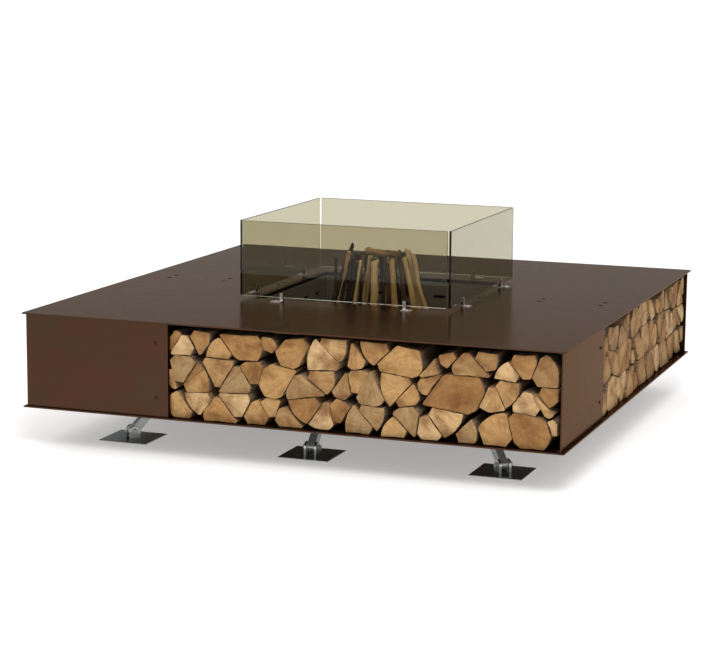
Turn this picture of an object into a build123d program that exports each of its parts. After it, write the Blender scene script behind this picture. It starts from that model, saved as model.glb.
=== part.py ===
"""Square steel fire table: a lift-out fire tub with its grate stands inside a glass wind screen,
in the middle of a low table whose four sides hold open log bays, on eight tilting feet.

The origin is on the floor at the centre of the table. X runs to the right along the front,
Y to the back and Z up. All lengths are in millimetres and all angles in degrees.
"""

import os
from math import asin, atan2, cos, degrees, hypot, radians, sin, tan
from random import Random

from build123d import *

# ---- driving dimensions of the table ----
plate_size = 2000.0            # side of the square top and bottom plates
plate_thickness = 5.0
plate_corner = 4.0             # corner radius of both plates
box_height = 344.0             # from under the bottom plate to the top of the top plate
ground_clearance = 150.0       # floor to the underside of the bottom plate
overhang = 12.0                # plates past the faces of the side sheets
sheet_thickness = 5.0          # walls and fascias
wall_gap = 72.0                # opening in the top plate to the inside of the bay walls
flange_width = 55.0            # folded flanges of the bay walls
flange_end_gap = 2.0           # between the flanges of neighbouring walls
flange_screw_inset = 25.0      # inside of a bay wall to the screws in its flanges
fascia_lip = 12.0              # folded lips along the top and bottom of a fascia
fit_gap = 0.3                  # between pieces that are placed side by side

# ---- stiffeners and screws ----
stiffener_width = 90.0
stiffener_thickness = 10.0
stiffener_setback = 28.0       # stiffener end to the face of the table
stiffener_wall_gap = 3.0
plate_screw_spread = 32.0      # centre line of a side to the screw beside it
inner_row_inset = 203.0        # back of a bay wall to the inner pair of stiffener screws
outer_row_inset = 113.0        # face of the table to the outer pair
plate_screw_radius = 5.0
plate_screw_head_radius = 9.5
foot_screw_spread = 200.0      # wall centre to each screw in its bottom flange
fascia_screw_inset = 45.0      # from the opening to the screws of a fascia
fascia_screw_margin = 70.0     # from the plates to the screws of a fascia
small_screw_radius = 4.0
small_head_radius = 7.0
small_head_height = 4.0
small_key_radius = 2.9
plate_key_radius = 4.0
key_depth = 2.6
thread_gap = 0.05              # radial, between a screw and its hole

# ---- fire tub, grate and ash pan ----
pit_half = 360.0               # half the side of the opening in the top plate
tub_gap = 3.0                  # opening to the tub all round
tub_wall = 4.0
tub_corner = 8.0
rim_drop = 13.0                # top of the table to the rim of the tub
tub_foot_height = 30.0
tub_foot_size = 60.0
tub_foot_inset = 90.0
slot_length = 50.0
slot_height = 12.5
slot_pitch = 125.0
slots_per_wall = 5
slot_drop = 58.0               # rim of the tub to the middle of the air slots
drain_radius = 15.0
ledge_length = 400.0
ledge_width = 25.0
ledge_drop = 189.0             # rim of the tub to the top of the grate ledges
grate_gap = 8.0
grate_frame_width = 8.0
grate_height = 25.0
grate_bar = 10.0
grate_bar_pitch = 30.0
grate_tie_spread = 170.0
pan_gap = 18.0                 # ledges to the rim of the ash pan
pan_height = 42.0
pan_wall = 2.0
pan_rim = 10.0

# ---- glass screen and its clips ----
screen_gap = 47.0              # opening in the top plate to the middle of each pane
screen_corner_gap = 4.0        # end of a pane to the face of the next
glass_height = 280.0
glass_thickness = 8.0
glass_lift = 14.0              # top of the table to the bottom of the glass
glass_arris = 1.0
clip_spread = 240.0            # middle of a pane to each of its clips
clip_sheet = 3.0
clip_tab_width = 12.0
clip_tab_height = 32.0
clip_foot_length = 40.0
clip_foot_depth = 28.0
pad_thickness = 1.0            # soft liner on each side of the glass
pad_height = 26.0
clip_screw_radius = 3.0
clip_head_radius = 5.5
clip_head_height = 3.0
hex_key_radius = 2.0           # to the corners of the socket

# ---- feet ----
foot_inset = 292.0             # edge of the plates to the middle of a foot
foot_size = 190.0
foot_thickness = 4.0
foot_corner = 2.0
pivot_height = 28.0
leg_lean = 45.0                # from upright, towards the middle of the table
leg_bar = 30.0
lug_gap = 0.5                  # leg to the lug on each side
lug_thickness = 8.0
lug_radius = 20.0
bolt_radius = 6.0
bolt_gap = 0.05                # radial, in the lugs and the leg
bolt_head_radius = 10.4        # to the corners of the hexagon
bolt_head_height = 7.5
bolt_side_gap = 0.3
nut_height = 10.0
leg_flange_length = 116.0
leg_flange_width = 84.0
leg_flange_thickness = 5.0
leg_screw_spread = (44.0, 30.0)

# ---- firewood ----
log_rows = 3
log_columns = 11
log_back_room = 51.0           # what the logs are shorter than the bay is deep
log_gap = 0.6                  # between neighbouring logs
log_setback = (4.0, 30.0)      # face of the table to the ends of the logs
log_edge_gap = 0.3             # to the plates and walls round a bay
log_settle = 34.0              # how much lower than the bay the pile may stay
log_sway = 0.24                # sideways shift of a log corner, as a share of the log width
log_heave = 17.0               # up or down shift of a log corner
log_merge_share = 0.24         # share of wedges left whole with their neighbour
split_corner = 4.0             # radius along the heart of a split log
bark_corners = (10.0, 26.0)    # radii along the bark
straight_share = 0.1           # of each side, left straight between its corners
pile_seeds = {"front": 21, "right": 8, "back": 15, "left": 33}

kindling_height = 326.0
kindling_base_radius = 186.0   # ring of sticks where they stand on the grate
kindling_top_radius = 104.0
kindling_outer_sticks = 12
kindling_inner_sticks = 5
kindling_inner_share = 0.42    # size of the inner ring beside the outer one
kindling_stick_radii = (12.0, 21.0)
kindling_tapers = (0.75, 0.95)
kindling_rises = (0.93, 1.0)   # length of a stick beside the longest
kindling_seed = 5

# ---- levels and faces worked out from them ----
floor_level = ground_clearance + plate_thickness
deck_level = ground_clearance + box_height
ceiling_level = deck_level - plate_thickness
bay_height = ceiling_level - floor_level
face = plate_size / 2 - overhang
inner_face = face - sheet_thickness
core_half = pit_half + wall_gap
wall_back = core_half + sheet_thickness
inside_row = core_half - flange_screw_inset
stiffener_rows = (wall_back + inner_row_inset, face - outer_row_inset)
thread_reach = plate_thickness + sheet_thickness
foot_offset = plate_size / 2 - foot_inset
screen_offset = pit_half + screen_gap
tub_half = pit_half - tub_gap
tub_inside = tub_half - tub_wall
rim_level = deck_level - rim_drop
tub_level = floor_level + tub_foot_height
tub_floor = tub_level + tub_wall
ledge_level = rim_level - ledge_drop
grate_level = ledge_level + grate_height
glass_level = deck_level + glass_lift
dome_radius = (small_head_radius**2 + small_head_height**2) / (2 * small_head_height)
half_dome = asin(small_head_radius / dome_radius) / 2

side_turns = {"front": 0, "right": 90, "back": 180, "left": 270}
foot_places = {
    "front_left": (-1, -1),
    "front": (0, -1),
    "front_right": (1, -1),
    "right": (1, 0),
    "back_right": (1, 1),
    "back": (0, 1),
    "back_left": (-1, 1),
    "left": (-1, 0),
}

os.makedirs("parts", exist_ok=True)


def save(part, label):
    """Name a finished piece and write it to its own file."""
    part.label = label
    export_step(part, f"parts/{label}.step")


def save_on_sides(part, label):
    """Write a piece of the front once for each side of the table, turned to that side."""
    for side, turn in side_turns.items():
        save(part.rotate(Axis.Z, turn), f"{label}_{side}")


def box_between(low, high, mode=Mode.ADD):
    """Box given by its lowest and highest corners, inside the part being built."""
    size = [top - bottom for bottom, top in zip(low, high)]
    with Locations(low):
        Box(*size, align=(Align.MIN, Align.MIN, Align.MIN), mode=mode)


def rows_beside_centre_lines(radii):
    """Places of the screws in pairs beside the centre line of one side, at each distance out."""
    return [(radius, spread) for radius in radii for spread in (-plate_screw_spread, plate_screw_spread)]


# ---- screws, each made once and copied where it is used ----
with BuildPart() as countersunk_screw:
    with BuildSketch(Plane.XZ):
        with BuildLine():
            Polyline(
                (0, 0),
                (plate_screw_head_radius - thread_gap, 0),
                (plate_screw_radius - thread_gap, plate_screw_radius - plate_screw_head_radius),
                (plate_screw_radius - thread_gap, -thread_reach),
                (0, -thread_reach),
                close=True,
            )
        make_face()
    revolve(axis=Axis.Z)
    with BuildSketch():
        RegularPolygon(plate_key_radius, 6)
    extrude(amount=-key_depth, mode=Mode.SUBTRACT)

with BuildPart() as domed_screw:
    with BuildSketch(Plane.XZ):
        with BuildLine():
            Polyline(
                (small_head_radius, 0),
                (small_screw_radius - thread_gap, 0),
                (small_screw_radius - thread_gap, -thread_reach),
                (0, -thread_reach),
                (0, small_head_height),
            )
            ThreePointArc(
                (0, small_head_height),
                (dome_radius * sin(half_dome), small_head_height - dome_radius * (1 - cos(half_dome))),
                (small_head_radius, 0),
            )
        make_face()
    revolve(axis=Axis.Z)
    with BuildSketch(Plane.XY.offset(small_head_height)):
        RegularPolygon(small_key_radius, 6)
    extrude(amount=-key_depth, mode=Mode.SUBTRACT)

with BuildPart() as clip_screw:
    with BuildSketch():
        Circle(clip_head_radius)
    extrude(amount=clip_head_height)
    fillet(clip_screw.edges().group_by(Axis.Z)[-1], clip_head_height / 2)
    with BuildSketch(Plane.XY.offset(clip_head_height)):
        RegularPolygon(hex_key_radius, 6)
    extrude(amount=-clip_head_height / 2, mode=Mode.SUBTRACT)
    with BuildSketch():
        Circle(clip_screw_radius - thread_gap)
    extrude(amount=-clip_sheet - plate_thickness)

# ---- top plate, with its screws ----
inner_row_places = rows_beside_centre_lines([inside_row])
outer_row_places = rows_beside_centre_lines(stiffener_rows)
clip_foot_middle = clip_foot_length / 2 - clip_tab_width / 2
clip_screw_distance = screen_offset + glass_thickness / 2 + pad_thickness + clip_sheet + clip_foot_depth / 2
clip_screw_places = [
    (clip_screw_distance, direction * (clip_spread + clip_foot_middle)) for direction in (-1, 1)
]

with BuildPart() as top_plate:
    with BuildSketch(Plane.XY.offset(ceiling_level)):
        RectangleRounded(plate_size, plate_size, plate_corner)
        Rectangle(2 * pit_half, 2 * pit_half, mode=Mode.SUBTRACT)
    extrude(amount=plate_thickness)
    with Locations((0, 0, deck_level)):
        with PolarLocations(0, len(side_turns)):
            with Locations(*inner_row_places, *outer_row_places):
                CounterSinkHole(plate_screw_radius, plate_screw_head_radius, counter_sink_angle=90)
            with Locations(*clip_screw_places):
                Hole(clip_screw_radius)
save(top_plate.part, "top_plate")

with BuildPart() as top_plate_screws:
    with Locations((0, 0, deck_level)):
        with PolarLocations(0, len(side_turns)):
            with Locations(*inner_row_places, *outer_row_places):
                add(countersunk_screw.part)
save(top_plate_screws.part, "top_plate_screws")

# ---- legs and tilting feet ----
leg_top_shift = (ground_clearance - pivot_height) * tan(radians(leg_lean))
leg_flange_low = ground_clearance - leg_flange_thickness
lug_outside = leg_bar / 2 + lug_gap + lug_thickness
leg_screw_places = [
    (-leg_top_shift + across * leg_screw_spread[0], along * leg_screw_spread[1])
    for across in (-1, 1)
    for along in (-1, 1)
]

with BuildPart() as leg:
    bar_plane = Plane(
        origin=(0, 0, pivot_height),
        x_dir=(cos(radians(leg_lean)), 0, sin(radians(leg_lean))),
        z_dir=(-sin(radians(leg_lean)), 0, cos(radians(leg_lean))),
    )
    with BuildSketch(bar_plane):
        Rectangle(leg_bar, leg_bar)
    extrude(amount=leg_top_shift + ground_clearance + leg_bar)
    with Locations((0, 0, pivot_height)):
        Cylinder(leg_bar / 2, leg_bar, rotation=(90, 0, 0))
    split(bisect_by=Plane.XY.offset(leg_flange_low), keep=Keep.BOTTOM)
    with BuildSketch(Plane.XY.offset(leg_flange_low)):
        with Locations((-leg_top_shift, 0)):
            RectangleRounded(leg_flange_length, leg_flange_width, lug_thickness)
        with Locations(*leg_screw_places):
            Circle(small_screw_radius, mode=Mode.SUBTRACT)
    extrude(amount=leg_flange_thickness)
    with Locations((0, 0, pivot_height)):
        Cylinder(bolt_radius + bolt_gap, 2 * leg_bar, rotation=(90, 0, 0), mode=Mode.SUBTRACT)

with BuildPart() as lug_pair:
    with BuildSketch(Plane.XZ) as lug_outline:
        with Locations((0, pivot_height)):
            Circle(lug_radius)
        with Locations((0, (pivot_height + foot_thickness) / 2)):
            Rectangle(2 * lug_radius, pivot_height - foot_thickness)
        with Locations((0, -lug_radius + foot_thickness)):
            Rectangle(4 * lug_radius, 2 * lug_radius, mode=Mode.SUBTRACT)
        with Locations((0, pivot_height)):
            Circle(bolt_radius + bolt_gap, mode=Mode.SUBTRACT)
    extrude(amount=lug_outside, both=True)
    box_between(
        (-2 * lug_radius, lug_thickness - lug_outside, 0),
        (2 * lug_radius, lug_outside - lug_thickness, 2 * pivot_height),
        mode=Mode.SUBTRACT,
    )

with BuildPart() as pivot_bolt:
    head_plane = Plane.XZ.offset(lug_outside + bolt_side_gap)
    with BuildSketch(head_plane):
        with Locations((0, pivot_height)):
            RegularPolygon(bolt_head_radius, 6)
    extrude(amount=bolt_head_height)
    with BuildSketch(head_plane):
        with Locations((0, pivot_height)):
            Circle(bolt_radius)
    extrude(amount=-2 * (lug_outside + bolt_side_gap) - nut_height)

with BuildPart() as pivot_nut:
    with BuildSketch(Plane.XZ.offset(-lug_outside - bolt_side_gap)):
        with Locations((0, pivot_height)):
            RegularPolygon(bolt_head_radius, 6)
            Circle(bolt_radius + bolt_gap, mode=Mode.SUBTRACT)
    extrude(amount=-nut_height)


def foot_location(across, along):
    """Place of a foot on the floor, with local X pointing away from the middle of the table."""
    turn = degrees(atan2(along, across))
    return Location((across * foot_offset, along * foot_offset, 0), (0, 0, turn))


foot_locations = [foot_location(*place) for place in foot_places.values()]

for place_name, place in foot_places.items():
    with BuildPart() as foot_plate:
        with BuildSketch():
            with Locations((place[0] * foot_offset, place[1] * foot_offset)):
                RectangleRounded(foot_size, foot_size, foot_corner)
        extrude(amount=foot_thickness)
        with Locations(foot_location(*place)):
            add(lug_pair.part)
    save(foot_plate.part, f"foot_plate_{place_name}")

with BuildPart() as legs:
    with Locations(*foot_locations):
        add(leg.part)
save(legs.part, "legs")

with BuildPart() as pivot_bolts:
    with Locations(*foot_locations):
        add(pivot_bolt.part)
save(pivot_bolts.part, "pivot_bolts")

with BuildPart() as pivot_nuts:
    with Locations(*foot_locations):
        add(pivot_nut.part)
save(pivot_nuts.part, "pivot_nuts")

with BuildPart() as leg_screws:
    with Locations(*foot_locations):
        with Locations(*[(x, y, leg_flange_low) for x, y in leg_screw_places]):
            add(domed_screw.part, rotation=(180, 0, 0))
save(leg_screws.part, "leg_screws")

# ---- bottom plate, with the screws of the walls ----
wall_foot_places = [(inside_row, direction * foot_screw_spread) for direction in (-1, 1)]

with BuildPart() as bottom_plate:
    with BuildSketch(Plane.XY.offset(ground_clearance)):
        RectangleRounded(plate_size, plate_size, plate_corner)
    extrude(amount=plate_thickness)
    with Locations((0, 0, floor_level)):
        with PolarLocations(0, len(side_turns)):
            with Locations(*wall_foot_places):
                Hole(small_screw_radius)
        with Locations(*foot_locations):
            with Locations(*leg_screw_places):
                Hole(small_screw_radius)
save(bottom_plate.part, "bottom_plate")

with BuildPart() as wall_foot_screws:
    with PolarLocations(0, len(side_turns)):
        with Locations(*[(x, y, ground_clearance) for x, y in wall_foot_places]):
            add(domed_screw.part, rotation=(180, 0, 0))
save(wall_foot_screws.part, "wall_foot_screws")

# ---- bay walls: each closes the end of one bay and the back of the next ----
flange_reach = core_half - flange_width - flange_end_gap
fascia_screw_places = [
    (-core_half - fascia_screw_inset, level)
    for level in (floor_level + fascia_screw_margin, ceiling_level - fascia_screw_margin)
]

with BuildPart() as bay_wall:
    box_between((-wall_back, -inner_face, floor_level), (-core_half, core_half, ceiling_level))
    box_between(
        (-core_half - flange_width, -inner_face, floor_level),
        (-core_half, -inner_face + sheet_thickness, ceiling_level),
    )
    for flange_low in (floor_level, ceiling_level - sheet_thickness):
        box_between(
            (-core_half, -flange_reach, flange_low),
            (-core_half + flange_width, flange_reach, flange_low + sheet_thickness),
        )
    with Locations(*[(-distance, spread, ceiling_level) for distance, spread in inner_row_places]):
        Hole(plate_screw_radius, depth=sheet_thickness)
    bottom_flange_top = floor_level + sheet_thickness
    with Locations(*[(-distance, spread, bottom_flange_top) for distance, spread in wall_foot_places]):
        Hole(small_screw_radius, depth=sheet_thickness)
    with BuildSketch(Plane.XZ.offset(inner_face)):
        with Locations(*fascia_screw_places):
            Circle(small_screw_radius)
    extrude(amount=-sheet_thickness, mode=Mode.SUBTRACT)
save_on_sides(bay_wall.part, "bay_wall")

# ---- fascias: flat sheets with folded lips, screwed to the front flange of a wall ----
lip_end = -core_half - flange_width - flange_end_gap

with BuildPart() as fascia:
    box_between((-face, -face, floor_level), (-core_half, -inner_face, ceiling_level))
    for lip_low in (floor_level, ceiling_level - sheet_thickness):
        lip_top = lip_low + sheet_thickness
        box_between((-inner_face, -face, lip_low), (lip_end, -inner_face + fascia_lip, lip_top))
    with BuildSketch(Plane.XZ.offset(face)):
        with Locations(*fascia_screw_places):
            Circle(small_screw_radius)
    extrude(amount=-sheet_thickness, mode=Mode.SUBTRACT)
save_on_sides(fascia.part, "fascia")

with BuildPart() as fascia_screws:
    with PolarLocations(0, len(side_turns)):
        with Locations(*[(across, -face, level) for across, level in fascia_screw_places]):
            add(domed_screw.part, rotation=(90, 0, 0))
save(fascia_screws.part, "fascia_screws")

# ---- flat stiffeners under the top plate ----
with BuildPart() as stiffener:
    box_between(
        (-stiffener_width / 2, -face + stiffener_setback, ceiling_level - stiffener_thickness),
        (stiffener_width / 2, -wall_back - stiffener_wall_gap, ceiling_level),
    )
    with Locations(*[(spread, -radius, ceiling_level) for radius, spread in outer_row_places]):
        Hole(plate_screw_radius)
save_on_sides(stiffener.part, "stiffener")

# ---- fire tub on its own feet ----
with BuildPart() as fire_tub:
    with BuildSketch(Plane.XY.offset(tub_level)):
        RectangleRounded(2 * tub_half, 2 * tub_half, tub_corner)
    extrude(amount=rim_level - tub_level)
    with BuildSketch(Plane.XY.offset(tub_floor)):
        RectangleRounded(2 * tub_inside, 2 * tub_inside, tub_corner - tub_wall)
    extrude(amount=rim_level - tub_floor, mode=Mode.SUBTRACT)
    for slot_plane in (Plane.XZ, Plane.YZ):
        with BuildSketch(slot_plane):
            with Locations((0, rim_level - slot_drop)):
                with GridLocations(slot_pitch, 1, slots_per_wall, 1):
                    SlotOverall(slot_length, slot_height)
        extrude(amount=2 * tub_half, both=True, mode=Mode.SUBTRACT)
    with PolarLocations(0, len(side_turns)):
        with Locations((tub_inside - ledge_width / 2, 0, ledge_level - tub_wall / 2)):
            Box(ledge_width, ledge_length, tub_wall)
    with Locations((0, 0, tub_floor)):
        Hole(drain_radius)
    with BuildSketch(Plane.XY.offset(floor_level)):
        with GridLocations(2 * (tub_half - tub_foot_inset), 2 * (tub_half - tub_foot_inset), 2, 2):
            RectangleRounded(tub_foot_size, tub_foot_size, tub_corner)
    extrude(amount=tub_foot_height)
save(fire_tub.part, "fire_tub")

pan_half = tub_inside - ledge_width - pan_gap - pan_rim

with BuildPart() as ash_pan:
    with BuildSketch(Plane.XY.offset(tub_floor)):
        RectangleRounded(2 * pan_half, 2 * pan_half, tub_corner)
    extrude(amount=pan_height)
    with BuildSketch(Plane.XY.offset(tub_floor + pan_height - pan_wall)):
        RectangleRounded(2 * (pan_half + pan_rim), 2 * (pan_half + pan_rim), tub_corner + pan_rim)
    extrude(amount=pan_wall)
    with BuildSketch(Plane.XY.offset(tub_floor + pan_wall)):
        RectangleRounded(2 * (pan_half - pan_wall), 2 * (pan_half - pan_wall), tub_corner - pan_wall)
    extrude(amount=pan_height, mode=Mode.SUBTRACT)
save(ash_pan.part, "ash_pan")

# ---- grate that rests on the ledges of the tub ----
grate_half = tub_inside - grate_gap
grate_inside = grate_half - grate_frame_width
bar_count = int(2 * grate_inside // grate_bar_pitch)

with BuildPart() as fire_grate:
    with BuildSketch(Plane.XY.offset(ledge_level)):
        Rectangle(2 * grate_half, 2 * grate_half)
        Rectangle(2 * grate_inside, 2 * grate_inside, mode=Mode.SUBTRACT)
    extrude(amount=grate_height)
    with BuildSketch(Plane.XY.offset(grate_level - grate_bar)):
        with GridLocations(grate_bar_pitch, 1, bar_count, 1):
            Rectangle(grate_bar, 2 * grate_half - grate_frame_width)
    extrude(amount=grate_bar)
    with BuildSketch(Plane.XY.offset(ledge_level)):
        with GridLocations(1, 2 * grate_tie_spread, 1, 2):
            Rectangle(2 * grate_half - grate_frame_width, grate_frame_width)
    extrude(amount=grate_height - grate_bar / 2)
save(fire_grate.part, "fire_grate")

# ---- glass screen: a pane on each side, held by two clips with soft liners ----
glass_length = 2 * (screen_offset - glass_thickness / 2 - screen_corner_gap)

with BuildPart() as glass_pane:
    with Locations((0, -screen_offset, glass_level)):
        Box(glass_length, glass_thickness, glass_height, align=(Align.CENTER, Align.CENTER, Align.MIN))
    chamfer(glass_pane.edges(), glass_arris)
save_on_sides(glass_pane.part, "glass_pane")

tab_inside = glass_thickness / 2 + pad_thickness
tab_outside = tab_inside + clip_sheet

with BuildPart() as clip:
    with BuildSketch(Plane.YZ.offset(-clip_tab_width / 2)):
        with BuildLine():
            Polyline(
                (-tab_outside, 0),
                (tab_outside, 0),
                (tab_outside, clip_tab_height),
                (tab_inside, clip_tab_height),
                (tab_inside, clip_sheet),
                (-tab_inside, clip_sheet),
                (-tab_inside, clip_tab_height),
                (-tab_outside, clip_tab_height),
                close=True,
            )
        make_face()
    extrude(amount=clip_tab_width)
    box_between(
        (-clip_tab_width / 2, -tab_outside - clip_foot_depth, 0),
        (clip_foot_length - clip_tab_width / 2, -tab_outside, clip_sheet),
    )
    fillet(clip.edges().filter_by(Axis.Z).group_by(Axis.Y)[0], clip_sheet)
    with Locations((clip_foot_middle, -tab_outside - clip_foot_depth / 2, clip_sheet)):
        Hole(clip_screw_radius)

with BuildPart() as pad:
    with BuildSketch(Plane.YZ.offset(-clip_tab_width / 2)):
        with Locations((0, clip_sheet)):
            Rectangle(2 * tab_inside, pad_height, align=(Align.CENTER, Align.MIN))
        with Locations((0, glass_lift)):
            glass_slot = (glass_thickness + 2 * fit_gap, clip_tab_height)
            Rectangle(*glass_slot, align=(Align.CENTER, Align.MIN), mode=Mode.SUBTRACT)
    extrude(amount=clip_tab_width)

with BuildPart() as glass_clips:
    with PolarLocations(0, len(side_turns)):
        with Locations((clip_spread, -screen_offset, deck_level)):
            add(clip.part)
        with Locations((-clip_spread, -screen_offset, deck_level)):
            add(clip.part.mirror(Plane.YZ))
save(glass_clips.part, "glass_clips")

with BuildPart() as glass_pads:
    with PolarLocations(0, len(side_turns)):
        with Locations(*[(direction * clip_spread, -screen_offset, deck_level) for direction in (-1, 1)]):
            add(pad.part)
save(glass_pads.part, "glass_pads")

with BuildPart() as clip_screws:
    with PolarLocations(0, len(side_turns)):
        with Locations(*[(x, y, deck_level + clip_sheet) for x, y in clip_screw_places]):
            add(clip_screw.part)
save(clip_screws.part, "clip_screws")


# ---- firewood ----
def corner_rows(random):
    """Rows of log corners across a bay, from its floor to the top of the pile."""
    left = -core_half + log_edge_gap
    right = inner_face - fascia_lip - log_edge_gap
    column = (right - left) / log_columns
    pile_height = bay_height - stiffener_thickness - 2 * log_edge_gap
    rows = []
    for row in range(log_rows + 1):
        shift = 0.5 * (row % 2)
        inner_count = log_columns - 1 + row % 2
        spots = [left]
        for index in range(inner_count):
            spots.append(left + column * (index + 1 - shift + random.uniform(-log_sway, log_sway)))
        spots.append(right)
        level = floor_level + log_edge_gap + row * pile_height / log_rows
        if row == 0:
            heights = [level for _ in spots]
        elif row == log_rows:
            heights = [level - random.uniform(0, 1) ** 2 * log_settle for _ in spots]
        else:
            heights = [level + random.uniform(-log_heave, log_heave) for _ in spots]
        rows.append(list(zip(spots, heights)))
    return rows


def wedges_between(lower, upper, random):
    """Outlines of the logs between two rows of corners: wedges, and some left four-sided."""
    edges = [(0, 0)]
    while edges[-1] != (len(lower) - 1, len(upper) - 1):
        low, high = edges[-1]
        low_is_last, high_is_last = low == len(lower) - 1, high == len(upper) - 1
        low_is_next = high_is_last or (not low_is_last and lower[low + 1][0] <= upper[high + 1][0])
        edges.append((low + 1, high) if low_is_next else (low, high + 1))
    outlines = []
    start = edges[0]
    for index in range(1, len(edges)):
        end = edges[index]
        if index < len(edges) - 1:
            after = edges[index + 1]
            may_merge = after[0] - start[0] <= 1 and after[1] - start[1] <= 1
            if may_merge and random.random() < log_merge_share:
                continue
        outlines.append(lower[start[0] : end[0] + 1] + upper[start[1] : end[1] + 1][::-1])
        start = end
    return outlines


def inset_outline(points, distance):
    """Convex outline moved inwards by a distance on every side."""
    lines = []
    for (x1, y1), (x2, y2) in zip(points, points[1:] + points[:1]):
        length = hypot(x2 - x1, y2 - y1)
        normal = (-(y2 - y1) / length, (x2 - x1) / length)
        lines.append((normal, normal[0] * x1 + normal[1] * y1 + distance))
    corners = []
    for (n1, d1), (n2, d2) in zip([lines[-1]] + lines[:-1], lines):
        cross = n1[0] * n2[1] - n1[1] * n2[0]
        corners.append(((d1 * n2[1] - d2 * n1[1]) / cross, (n1[0] * d2 - n2[0] * d1) / cross))
    return corners


def bark_radii(points, random):
    """Corner radii of a split log: a small one along its heart and large ones along its bark."""
    count = len(points)
    heart = random.randrange(count)
    radii = []
    for index, (x, y) in enumerate(points):
        before, after = points[index - 1], points[(index + 1) % count]
        shorter_side = min(hypot(x - before[0], y - before[1]), hypot(x - after[0], y - after[1]))
        reach = (1 - straight_share) / 2 * shorter_side
        turn = abs(atan2(after[1] - y, after[0] - x) - atan2(before[1] - y, before[0] - x))
        half_angle = min(turn, 2 * radians(180) - turn) / 2
        wanted = split_corner if index == heart else random.uniform(*bark_corners)
        radii.append(min(wanted, reach * tan(half_angle)))
    return radii


log_length = face - wall_back - log_back_room

for side, turn in side_turns.items():
    pile_random = Random(pile_seeds[side])
    corner_lines = corner_rows(pile_random)
    with BuildPart() as log_pile:
        for lower_line, upper_line in zip(corner_lines, corner_lines[1:]):
            for outline in wedges_between(lower_line, upper_line, pile_random):
                log_points = inset_outline(outline, log_gap / 2)
                log_end = -face + pile_random.uniform(*log_setback)
                with BuildSketch(Plane.XZ.offset(-log_end)):
                    with BuildLine():
                        FilletPolyline(*log_points, radius=bark_radii(log_points, pile_random), close=True)
                    make_face()
                extrude(amount=-log_length, clean=False)
    save(log_pile.part.rotate(Axis.Z, turn), f"log_pile_{side}")

# ---- kindling stood on the grate ----
kindling_random = Random(kindling_seed)
kindling_rings = ((kindling_outer_sticks, 1.0), (kindling_inner_sticks, kindling_inner_share))

with BuildPart() as kindling:
    for stick_count, ring_share in kindling_rings:
        for index in range(stick_count):
            angle = radians(360 / stick_count * index)
            direction = (cos(angle), sin(angle))
            stick_radius = kindling_random.uniform(*kindling_stick_radii)
            taper = kindling_random.uniform(*kindling_tapers)
            base = kindling_base_radius * ring_share
            top = kindling_top_radius * ring_share
            rise = kindling_height * kindling_random.uniform(*kindling_rises)
            with BuildSketch(Plane.XY.offset(grate_level)):
                with Locations((base * direction[0], base * direction[1])):
                    Circle(stick_radius)
            with BuildSketch(Plane.XY.offset(grate_level + rise)):
                with Locations((top * direction[0], top * direction[1])):
                    Circle(stick_radius * taper)
            loft(clean=False)
save(kindling.part, "kindling")
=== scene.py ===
"""Looks of a square steel fire table with a glass wind screen, firewood bays and tilting feet.

Every length is in metres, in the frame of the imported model: X to the right along the front of
the table, Y to the back and Z up, with the origin on the floor under the middle of the table.
"""

import logging
from abc import ABC, abstractmethod
from collections.abc import Sequence
from dataclasses import dataclass, field
from enum import Enum, IntEnum
from math import atan2, cos, hypot, pi, radians, sin
from random import Random
from typing import ClassVar

import bmesh
import bpy
from mathutils import Matrix, Vector, noise


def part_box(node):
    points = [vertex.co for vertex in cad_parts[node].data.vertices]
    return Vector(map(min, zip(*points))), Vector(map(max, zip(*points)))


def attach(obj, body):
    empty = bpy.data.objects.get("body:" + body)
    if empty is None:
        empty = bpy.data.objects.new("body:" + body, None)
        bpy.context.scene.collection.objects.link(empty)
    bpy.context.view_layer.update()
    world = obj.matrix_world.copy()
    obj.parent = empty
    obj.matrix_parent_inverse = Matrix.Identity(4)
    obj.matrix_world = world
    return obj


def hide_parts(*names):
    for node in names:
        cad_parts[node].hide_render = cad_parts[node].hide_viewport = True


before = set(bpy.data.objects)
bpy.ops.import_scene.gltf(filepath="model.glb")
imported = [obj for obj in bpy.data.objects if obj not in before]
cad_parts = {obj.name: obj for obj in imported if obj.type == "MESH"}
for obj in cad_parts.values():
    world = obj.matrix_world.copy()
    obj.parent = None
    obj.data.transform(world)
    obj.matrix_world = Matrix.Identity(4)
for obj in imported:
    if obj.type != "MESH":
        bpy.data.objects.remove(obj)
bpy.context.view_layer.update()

logger = logging.getLogger("fire_table")

Colour = tuple[float, float, float]
Point = tuple[float, float]
Stop = tuple[float, Colour]
Waves = tuple[float, float, float]
Span = tuple[int, int]
Socket = bpy.types.NodeSocket

WHITE: Colour = (1.0, 1.0, 1.0)
TURN = 2 * pi
WOOD_SHINE = 0.18
LEAST_TURN = 0.05
CLOSE = 0.001
TINY = 1e-9


class Side(Enum):
    """The four sides of the table, each with its turn about Z from the front."""

    FRONT = 0
    RIGHT = 90
    BACK = 180
    LEFT = 270

    @property
    def label(self) -> str:
        """Name of the side as the node names give it."""
        return self.name.lower()


class LogFace(IntEnum):
    """Kinds of face on a log, in the order of the pile's finishes."""

    END = 0
    SPLIT = 1
    BARK = 2


FOOT_PLACES = ("front_left", "front", "front_right", "right", "back_right", "back", "back_left", "left")


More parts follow.
